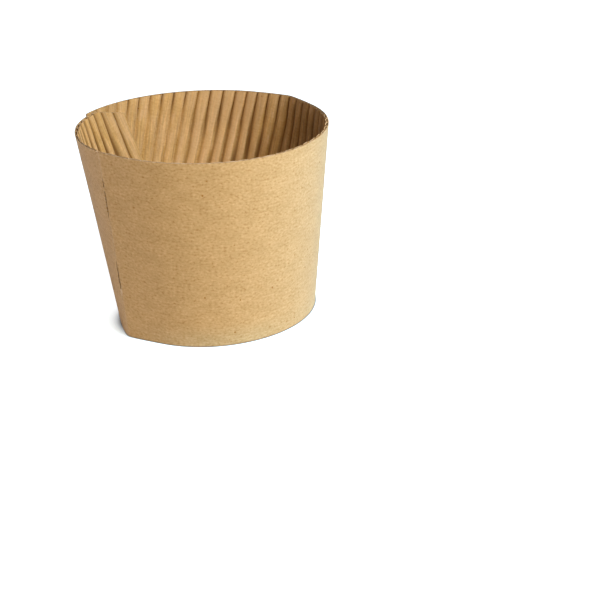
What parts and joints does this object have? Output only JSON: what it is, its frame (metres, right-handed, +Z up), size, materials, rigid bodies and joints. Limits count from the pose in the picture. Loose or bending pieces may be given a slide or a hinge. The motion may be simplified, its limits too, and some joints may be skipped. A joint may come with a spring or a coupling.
{
  "type": "cup sleeve",
  "caption": "Tapered sleeve of single-face corrugated kraft board, folded open, that slips over a hot drink cup to keep the heat from the hand.",
  "frame": {"origin": "centre of the box of the opened sleeve, at the bottom rim that it stands on", "axes": "+Z up through the sleeve towards the wide rim, +X from the perforated crease to the plain crease, -Y out of the front panel"},
  "size_m": [0.0798, 0.0762, 0.0599],
  "materials": {
    "kraft_board": "matt, natural brown, smooth liner outside and fluted medium inside"
  },
  "bodies": {
    "root": {"cup_sleeve": "kraft_board"}
  },
  "joints": []
}
